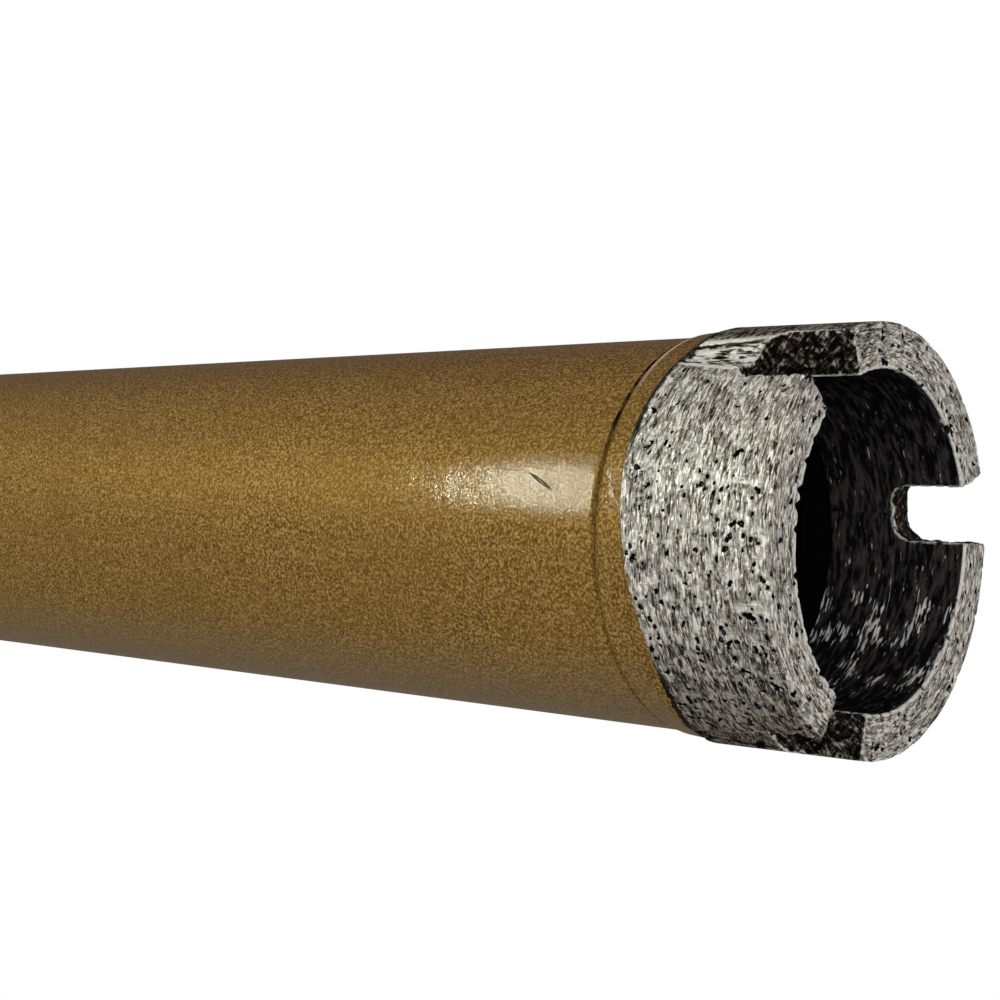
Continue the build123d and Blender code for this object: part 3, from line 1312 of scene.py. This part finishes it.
    def root_edge(self, places: np.ndarray) -> np.ndarray:
        """Height of the wavy edge between the painted carrier and the ground crown.

        Args:
            places: Places on the crown.

        Returns:
            The edge's height at each place's azimuth.
        """
        angles = angles_of(places)
        height = np.full(len(places), self.root_height)
        for wave in self.root_waves:
            height += wave.rise * np.cos(wave.count * (angles - math.radians(wave.crest)))
        return height

    def mark_regions(self, mesh: Mesh) -> None:
        """Keep the regions, pits, edge wear and the masks of painted shade and light for the finish.

        Args:
            mesh: The crown's mesh.
        """
        places = vertex_array(mesh, "co")
        radii, heights = radii_of(places), places[:, 2]
        _, dark, tail = self.pit_fields(places)
        regions = self.regions(mesh)
        for region in Region:
            store_mask(mesh, region.value, regions[region])
        dark[regions[Region.CUT] | regions[Region.BORE]] = -1.0
        wear = self.edge_wear(mesh)
        wear[(dark > -0.8) | (heights < self.root_height + self.unworn_root)] = 0.0
        on_rim = heights > self.face_height - self.face_wear_width
        wear[(radii > self.skin_start) & on_rim] *= 0.25
        painted = (self.root_edge(places) - heights) / MM
        painted[radii < self.paint_start] = FAR_OUTSIDE
        # Two of the masks carry painted light: the skin's painted shade and light, and the greyer side
        # of the bore's painted shade
        masks = {
            "pit": dark, "tail": tail, "edge": np.maximum(wear, self.rim_wear(places)),
            "groove": self.groove(places), "paint": painted, "painted_shading": self.painted_shading(places),
            "rub": self.rubbed(places), "painted_pale_side": facing(self.pale_bore_azimuth, places),
        }
        for name, values in masks.items():
            store_mask(mesh, name, values)

    def painted_shading(self, places: np.ndarray) -> np.ndarray:
        """How much painted shade each place gets, with painted light below zero.

        Args:
            places: Places on the crown.

        Returns:
            A number above 0 where shade is painted and below 0 where light is painted.
        """
        # Painted shade towards the shaded side and along a narrow strip round one azimuth; painted
        # light on the lit side and on the cutting face
        painted_shading = np.clip((facing(self.shaded_azimuth, places) - 0.25) / 0.75, 0.0, 1.0) ** 1.9
        strip = np.abs(turn_from(self.shaded_strip_azimuth, np.degrees(angles_of(places))))
        painted_shading = np.maximum(painted_shading, 2.0 * np.clip(1.6 - strip / 10.0, 0.0, 1.0))
        painted_light = 0.5 * np.clip(facing(self.lit_azimuth, places), 0.0, 1.0) ** 2
        on_face = places[:, 2] > self.face_height - 0.3 * MM
        return np.where(on_face, 0.3 * painted_shading - 0.5, painted_shading - 1.3 * painted_light)

    def rubbed(self, places: np.ndarray) -> np.ndarray:
        """How strongly the core has scratched each place of the bore.

        Args:
            places: Places on the crown.

        Returns:
            A number from 0 to 1.
        """
        window = np.clip(6.0 * facing(self.rubbed_azimuth, places) - 4.9, 0.0, 1.0)
        patches = noise_at(self.unrolled(places), self.rub_size, 11.0)
        return np.clip(window * (0.25 + 2.4 * patches), 0.0, 1.0)

    def groove(self, places: np.ndarray) -> np.ndarray:
        """Measure how deep inside a flute each place lies.

        Args:
            places: Places on the crown.

        Returns:
            Millimetres to the nearest flute's side, above 0 inside the flute.
        """
        azimuths = np.degrees(angles_of(places))
        share = (places[:, 2] - self.root_height) / (self.slot_floor - self.root_height)
        low, high = self.flute_half_widths
        half = low + np.clip(share, 0.0, 1.0) * (high - low)
        inside = np.full(len(places), FAR_OUTSIDE)
        for azimuth in self.slot_azimuths:
            aside = np.abs(np.radians(turn_from(azimuth, azimuths))) * self.outer_radius
            inside = np.maximum(inside, (half - aside) / MM)
        inside[(share > 1.0) | (radii_of(places) < 0.9 * self.outer_radius)] = FAR_OUTSIDE
        return inside

    def rim_wear(self, places: np.ndarray) -> np.ndarray:
        """How close each place is to the bore's sharp rim on the cutting face.

        Args:
            places: Places on the crown.

        Returns:
            A number from 0 to the rim's greatest wear.
        """
        away = np.hypot(radii_of(places) - self.bore_radius, places[:, 2] - self.face_height)
        near = np.clip(facing(self.worn_rim_azimuth, places), 0.0, 1.0)
        width = (0.24 + 0.22 * near) * MM
        return self.rim_wear_level * np.clip(1.0 - away / width, 0.0, 1.0)

    def edge_wear(self, mesh: Mesh) -> np.ndarray:
        """How sharply each vertex stands out from its neighbours.

        Args:
            mesh: The crown's mesh.

        Returns:
            The height over the neighbours, in steps of the mesh.
        """
        places, normals = vertex_array(mesh, "co"), vertex_array(mesh, "normal")
        ends = np.zeros(len(mesh.edges) * 2, int)
        mesh.edges.foreach_get("vertices", ends)
        first, second = ends[0::2], ends[1::2]
        count = np.bincount(ends, minlength=len(places))

        def around(values: np.ndarray) -> np.ndarray:
            """Add up what each vertex's neighbours hold.

            Args:
                values: One row for each vertex.

            Returns:
                The sums.
            """
            total = np.zeros_like(values)
            np.add.at(total, first, values[second])
            np.add.at(total, second, values[first])
            return total

        above = places - around(places) / count[:, None]
        stand = np.einsum("ij,ij->i", above, normals) / self.voxel
        return 0.5 * stand + 0.5 * around(stand) / count

    # -------------------------------------------------------------- grit

    def add_grit(self) -> None:
        """Seat dark diamond grains in some of the pits."""
        draw = self.random
        deselect()
        bpy.ops.mesh.primitive_ico_sphere_add(subdivisions=1, radius=1.0)
        grain = take_primitive("grain")
        grains = []
        for pit in self.pits:
            if pit.half_width < self.least_grit_pit or draw.random() > self.grit_share:
                continue
            if not self.on_crown(pit):
                continue
            size = self.grit_to_pit * pit.half_width
            axis = Vector([draw.uniform(-1, 1) for _ in range(3)])
            twist = Matrix.Rotation(draw.uniform(0, math.tau), 4, axis)
            place = Matrix.Translation(pit.centre - pit.outwards * (pit.depth + 0.35 * size))
            grains.append(add_object("grain", grain.data.copy()))
            grains[-1].data.transform(place @ twist @ Matrix.Scale(size, 4))
        bpy.data.objects.remove(grain)
        join(*grains)
        grit = grains[0]
        grit.name = grit.data.name = "diamond_grit"
        finish_piece(grit, self.grit_finish.material(), "crown_matrix")

    def on_crown(self, pit: Pit) -> bool:
        """Whether a pit lies on the crown and not over a slot or a flute.

        Args:
            pit: The pit.

        Returns:
            True where a grain can sit in it.
        """
        azimuth = math.degrees(math.atan2(pit.centre.y, pit.centre.x))
        slots = zip(self.slot_azimuths, self.slot_angles)
        return all(
            abs(turn_from(middle, azimuth)) >= angle / 2 + self.grit_margin for middle, angle in slots
        )


@dataclass
class Barrel:
    """The painted tube, the carrier ring and the seam between them."""

    paint: BronzePaint = field(default_factory=BronzePaint)
    filler: BrazeFiller = field(default_factory=BrazeFiller)
    wall: float = 2.0 * MM
    seam_inner: float = 12.0 * MM
    seam_sink: float = 0.07 * MM
    carrier_bore: float = 11.3 * MM
    carrier_rear_step: float = 0.2 * MM
    carrier_rear_radius: float = 0.5 * MM
    end_radius: float = 0.09 * MM
    steps: int = 256

    def build(self) -> None:
        """Build and dress the tube, the carrier and the braze."""
        paint = self.paint.material()
        self.build_tube(paint)
        self.build_carrier(paint)
        self.build_seam()

    def build_tube(self, paint: Material) -> None:
        """Build the tube with a rounded front end.

        Args:
            paint: Its material.
        """
        low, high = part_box("barrel_tube")
        outer, inner = high.x, high.x - self.wall
        # The ring below the rounding keeps the long wall's shading straight
        support = high.z - 3 * self.end_radius
        profile = [(inner, low.z), (outer, low.z), (outer, support), (outer, high.z), (inner, high.z)]
        tube = lathe("painted_tube", profile, self.steps)
        round_ring(tube, outer, high.z, self.end_radius, 4)
        shade(tube)
        finish_piece(tube, paint, "bronze_paint", "barrel_tube")

    def build_carrier(self, paint: Material) -> None:
        """Build the carrier ring with its rounded shoulder.

        Args:
            paint: Its material.
        """
        low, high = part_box("crown_carrier")
        bore, rear = self.carrier_bore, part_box("barrel_tube")[1].x + self.carrier_rear_step
        # The ring past the rounding keeps the skin's shading straight
        share = 1.3 * self.carrier_rear_radius / (high.z - low.z)
        support = (rear + share * (high.x - rear), low.z + share * (high.z - low.z))
        profile = [(bore, low.z), (rear, low.z), support, (high.x, high.z), (bore, high.z)]
        carrier = lathe("painted_carrier", profile, self.steps)
        round_ring(carrier, rear, low.z, self.carrier_rear_radius, 6)
        shade(carrier, 60.0)
        finish_piece(carrier, paint, "bronze_paint", "crown_carrier")

    def build_seam(self) -> None:
        """Fill the groove between tube and carrier almost flush, as the brazed seam is."""
        low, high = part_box("braze_ring")
        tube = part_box("barrel_tube")[1].x
        inner, sunk = self.seam_inner, tube - self.seam_sink
        foot, top = low.z - 0.10 * MM, high.z + 0.09 * MM
        profile = [
            (inner, foot), (tube - 0.02 * MM, foot), (tube - 0.015 * MM, low.z - 0.05 * MM),
            (sunk, low.z + 0.04 * MM), (sunk, high.z - 0.06 * MM), (tube, top), (inner, top),
        ]
        seam = lathe("braze_seam", profile, self.steps)
        shade(seam)
        finish_piece(seam, self.filler.material(), "braze_filler", "braze_ring")


@dataclass
class Hub:
    """The turned hub with its spindle thread, spigot and spanner flats, and its weld."""

    finish: TurnedSteel = field(default_factory=TurnedSteel)
    paint: BronzePaint = field(default_factory=BronzePaint)
    radius: float = 16.0 * MM
    shoulder: float = 38.0 * MM
    shoulder_chamfer: float = 0.3 * MM
    spigot_radius: float = 11.5 * MM
    spigot_top: float = 47.0 * MM
    spigot_chamfer: float = 0.8 * MM
    passage: float = 5.0 * MM
    drill_top: float = 27.79 * MM
    thread_crest: float = 9.65 * MM
    thread_root: float = 11.0 * MM
    thread_pitch: float = 2.5 * MM
    thread_depth: float = 25.0 * MM
    thread_start: float = 1.6 * MM
    mouth: float = 1.5 * MM
    rim: float = 1.0 * MM
    flat_half: float = 14.0 * MM
    flat_start: float = 9.0 * MM
    flat_height: float = 14.0 * MM
    steps: int = 192
    weld_steps: int = 360
    weld_arc_steps: int = 9
    weld_bulge: float = 0.4
    weld_ripples: float = 30.0
    weld_relief: float = 0.10 * MM

    def build(self) -> None:
        """Build and dress the hub and its weld."""
        hub = self.turned_body()
        self.mill_flats(hub)
        join(hub, self.thread())
        shade(hub, 30.0)
        finish_piece(hub, self.finish.material(), "turned_steel", "spindle_hub")
        self.build_weld()

    def turned_body(self) -> Object:
        """Turn the hub with its bore opened to the thread's roots.

        Returns:
            The hub.
        """
        outer, spigot = self.radius - 0.01 * MM, self.spigot_radius
        crest, root, depth = self.thread_crest, self.thread_root, self.thread_depth
        profile = [
            (crest + self.mouth, 0.0), (outer - self.rim, 0.0), (outer, self.rim),
            (outer, self.shoulder - self.shoulder_chamfer),
            (outer - self.shoulder_chamfer, self.shoulder), (spigot, self.shoulder),
            (spigot, self.spigot_top - self.spigot_chamfer),
            (spigot - self.spigot_chamfer, self.spigot_top), (self.passage, self.spigot_top),
            (self.passage, self.drill_top), (crest, depth), (crest, depth - 1.5 * MM),
            (root, depth - 2.0 * MM), (root, 0.15 * MM),
        ]
        return lathe("turned_hub", profile, self.steps)

    def mill_flats(self, hub: Object) -> None:
        """Mill the two spanner flats.

        Args:
            hub: The turned hub.
        """
        cutter_depth = 10 * MM
        height = self.flat_start + self.flat_height / 2
        for side in (-1, 1):
            deselect()
            bpy.ops.mesh.primitive_cube_add(
                size=1.0, location=(0, side * (self.flat_half + cutter_depth / 2), height),
                scale=(40 * MM, cutter_depth, self.flat_height),
            )
            cut_away(hub, take_primitive("flat_cutter"))

    def thread(self) -> Object:
        """Wind the thread's ridge round the bore.

        Returns:
            The ridge, whose root is sunk into the hub.
        """
        middle, sunk = 0.5 * (self.thread_crest + self.thread_root), 0.1 * MM
        deselect()
        bpy.ops.mesh.primitive_plane_add(
            size=1.0, location=(middle, 0, self.thread_start), rotation=(math.pi / 2, 0, 0)
        )
        ridge = take_primitive("thread_ridge")
        for vertex in ridge.data.vertices:
            at_crest = vertex.co.x < middle
            vertex.co.x = self.thread_crest if at_crest else self.thread_root + sunk
            half = self.thread_pitch * (0.125 if at_crest else 0.44)
            vertex.co.z = self.thread_start + math.copysign(half, vertex.co.z - self.thread_start)
        with editing(ridge):
            bpy.ops.mesh.delete(type="ONLY_FACE")
        turns = int((self.thread_depth - 4.5 * MM) / self.thread_pitch)
        apply_modifier(
            ridge, "SCREW", axis="Z", angle=math.tau, screw_offset=self.thread_pitch, iterations=turns,
            steps=96, render_steps=96, use_merge_vertices=False,
        )
        with editing(ridge):
            bpy.ops.mesh.fill_holes(sides=4)
            turn_faces_outwards()
        return ridge

    def build_weld(self) -> None:
        """Build the rippled weld bead at the tube's foot."""
        low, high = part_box("hub_weld")
        tube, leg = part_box("barrel_tube")[1].x, high.z - low.z
        bead = []
        for share in np.linspace(0.0, 1.0, self.weld_arc_steps):
            turn = share * math.pi / 2
            chord = np.array((1 - share, share))
            arc = np.array((math.cos(turn), math.sin(turn)))
            bead.append(tuple((tube, low.z) + leg * (chord + self.weld_bulge * (arc - chord))))
        weld = lathe("weld_bead", [(tube, low.z), *bead[:-1], (tube, high.z)], self.weld_steps)
        places = vertex_array(weld.data, "co")
        radii = radii_of(places)
        rise = (radii - tube) / leg
        ripple = np.abs(np.sin(self.weld_ripples * angles_of(places) + 1.2 * rise)) - 1.0
        wander = noise_at(places, 3.0 * MM) - 1.0
        free = (rise > 0.02) & (places[:, 2] > low.z + 0.02 * MM)
        shrink = np.where(free, self.weld_relief * (ripple + wander), 0.0)
        places[:, :2] *= ((radii + shrink) / radii)[:, None]
        move_vertices(weld.data, places)
        shade(weld, 50.0)
        finish_piece(weld, self.paint.material(), "bronze_paint", "hub_weld")


# ------------------------------------------------------------------ studio


@dataclass(frozen=True)
class Softbox:
    """A soft lamp that faces a point on the bit's axis."""

    name: str
    azimuth: float
    elevation: float
    distance: float
    width: float
    height: float
    level: float
    target_height: float = 0.35
    gloss_only: bool = False
    tint: Colour = (1.0, 1.0, 1.0)


KEY = Softbox("key", 262.0, 40.0, 0.60, 0.40, 0.40, 4.6)
GLEAM = Softbox("gleam", 244.3, -38.7, 0.30, 0.165, 0.019, 42.0, 0.353, True, (0.92, 1.0, 0.84))
GLEAM_CORE = replace(
    GLEAM, name="gleam_core", elevation=-39.5, width=0.11, height=0.014, level=200.0
)
GLEAM_END = replace(
    GLEAM, name="gleam_end", elevation=-35.7, width=0.14, height=0.009, level=165.0
)


@dataclass
class Studio:
    """Floor, light and camera."""

    lamps: tuple[Softbox, ...] = (KEY, GLEAM, GLEAM_CORE, GLEAM_END)
    world_level: float = 0.336
    floor_radius: float = 3.0
    floor_grey: Colour = (0.86, 0.86, 0.86)
    floor_fill: float = 0.46
    floor_fade: Pair = (0.10, 0.16)

    # The view: where the crown's cutting face lies from the camera, and how the axis points
    face_across: float = 24.67 * MM
    face_down: float = 2.64 * MM
    face_away: float = 107.9 * MM
    axis_yaw: float = 41.21
    axis_dip: float = 1.47
    lens: float = 61.0
    sensor: float = 36.0

    def build(self) -> None:
        """Build the floor, the world, the lamps and the camera."""
        self.add_world()
        self.add_floor()
        for lamp in self.lamps:
            self.add_lamp(lamp)
        self.add_camera()
        bpy.context.scene.view_settings.view_transform = "Standard"

    def axes(self) -> tuple[Vector, Vector, Vector]:
        """Directions of the frame's X, Y and Z in the camera's view.

        Returns:
            Each as (right, down, away).
        """
        yaw, dip = math.radians(self.axis_yaw), math.radians(self.axis_dip)
        along = Vector((math.cos(yaw) * math.cos(dip), math.cos(yaw) * math.sin(dip), -math.sin(yaw)))
        away = Vector((-along.z, 0.0, along.x)).normalized()
        return away.cross(along), away, along

    def add_camera(self) -> None:
        """Place the camera by where it sees the crown's cutting face."""
        to_frame = Matrix(self.axes())
        right, down, away = (to_frame.col[i].copy() for i in range(3))
        face_seen = Vector((self.face_across, self.face_down, self.face_away))
        face = Vector((0.0, 0.0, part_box("diamond_crown")[1].z))
        data = bpy.data.cameras.new("camera")
        data.lens, data.sensor_width = self.lens, self.sensor
        data.clip_start, data.clip_end = 0.001, 10.0
        camera = add_object("camera", data)
        turn = Matrix((right, -down, -away)).transposed()
        camera.matrix_world = Matrix.Translation(face - to_frame @ face_seen) @ turn.to_4x4()
        bpy.context.scene.camera = camera
        log.info("camera at %s", tuple(round(value, 4) for value in camera.location))

    def add_world(self) -> None:
        """White where it is seen or mirrored, softer where it lights."""
        world = bpy.data.worlds.new("studio")
        g = Graph(world)
        level = g.range(g.seen(), 0.0, 1.0, self.world_level, 1.0)
        background = g.add("Background", {"Color": (1.0, 1.0, 1.0), "Strength": level})
        g.add("OutputWorld", {0: background.outputs[0]})
        bpy.context.scene.world = world

    def add_floor(self) -> None:
        """A pale floor that fades into the white backdrop away from the bit."""
        deselect()
        bpy.ops.mesh.primitive_circle_add(
            vertices=96, radius=self.floor_radius, fill_type="NGON", location=(0, 0, 0)
        )
        floor = bpy.context.object
        floor.name = "floor"
        g = Graph(bpy.data.materials.new("pale_floor"))
        seen = g.seen()
        distance = g.add("VectorMath", {0: g.place}, operation="LENGTH").outputs["Value"]
        far = g.times(seen, g.range(distance, *self.floor_fade))
        matte = g.add("BsdfDiffuse", {"Color": self.floor_grey}).outputs[0]
        fill = g.add("Emission", {"Strength": g.times(seen, self.floor_fill)}).outputs[0]
        near = g.add("AddShader", {0: matte, 1: fill}).outputs[0]
        white = g.add("Emission", {"Strength": 1.0}).outputs[0]
        mixed = g.add("MixShader", {0: far, 1: near, 2: white}).outputs[0]
        g.add("OutputMaterial", {0: mixed})
        floor.data.materials.append(g.owner)

    def add_lamp(self, lamp: Softbox) -> None:
        """Hang one soft lamp, hidden from the camera.

        Args:
            lamp: Its place, size and level.
        """
        data = bpy.data.lights.new(lamp.name, "AREA")
        data.shape = "ELLIPSE" if lamp.gloss_only else "RECTANGLE"
        data.size, data.size_y = lamp.width, lamp.height
        data.color = lamp.tint
        data.energy = math.pi * lamp.width * lamp.height * lamp.level
        piece = add_object(lamp.name, data)
        target = Vector((0.0, 0.0, lamp.target_height))
        outwards = polar(math.cos(math.radians(lamp.elevation)), lamp.azimuth, 0.0)
        outwards.z = math.sin(math.radians(lamp.elevation))
        across = UP.cross(outwards).normalized()
        turn = Matrix((across, outwards.cross(across), outwards)).transposed().to_4x4()
        piece.matrix_world = Matrix.Translation(target + outwards * lamp.distance) @ turn
        piece.visible_camera = False
        piece.visible_diffuse = not lamp.gloss_only


def main() -> None:
    """Build the bit, the studio and the camera."""
    logging.basicConfig(level=logging.INFO, format="%(name)s: %(message)s")
    CuttingCrown().build()
    Barrel().build()
    Hub().build()
    Studio().build()


if __name__ == "__main__":
    main()
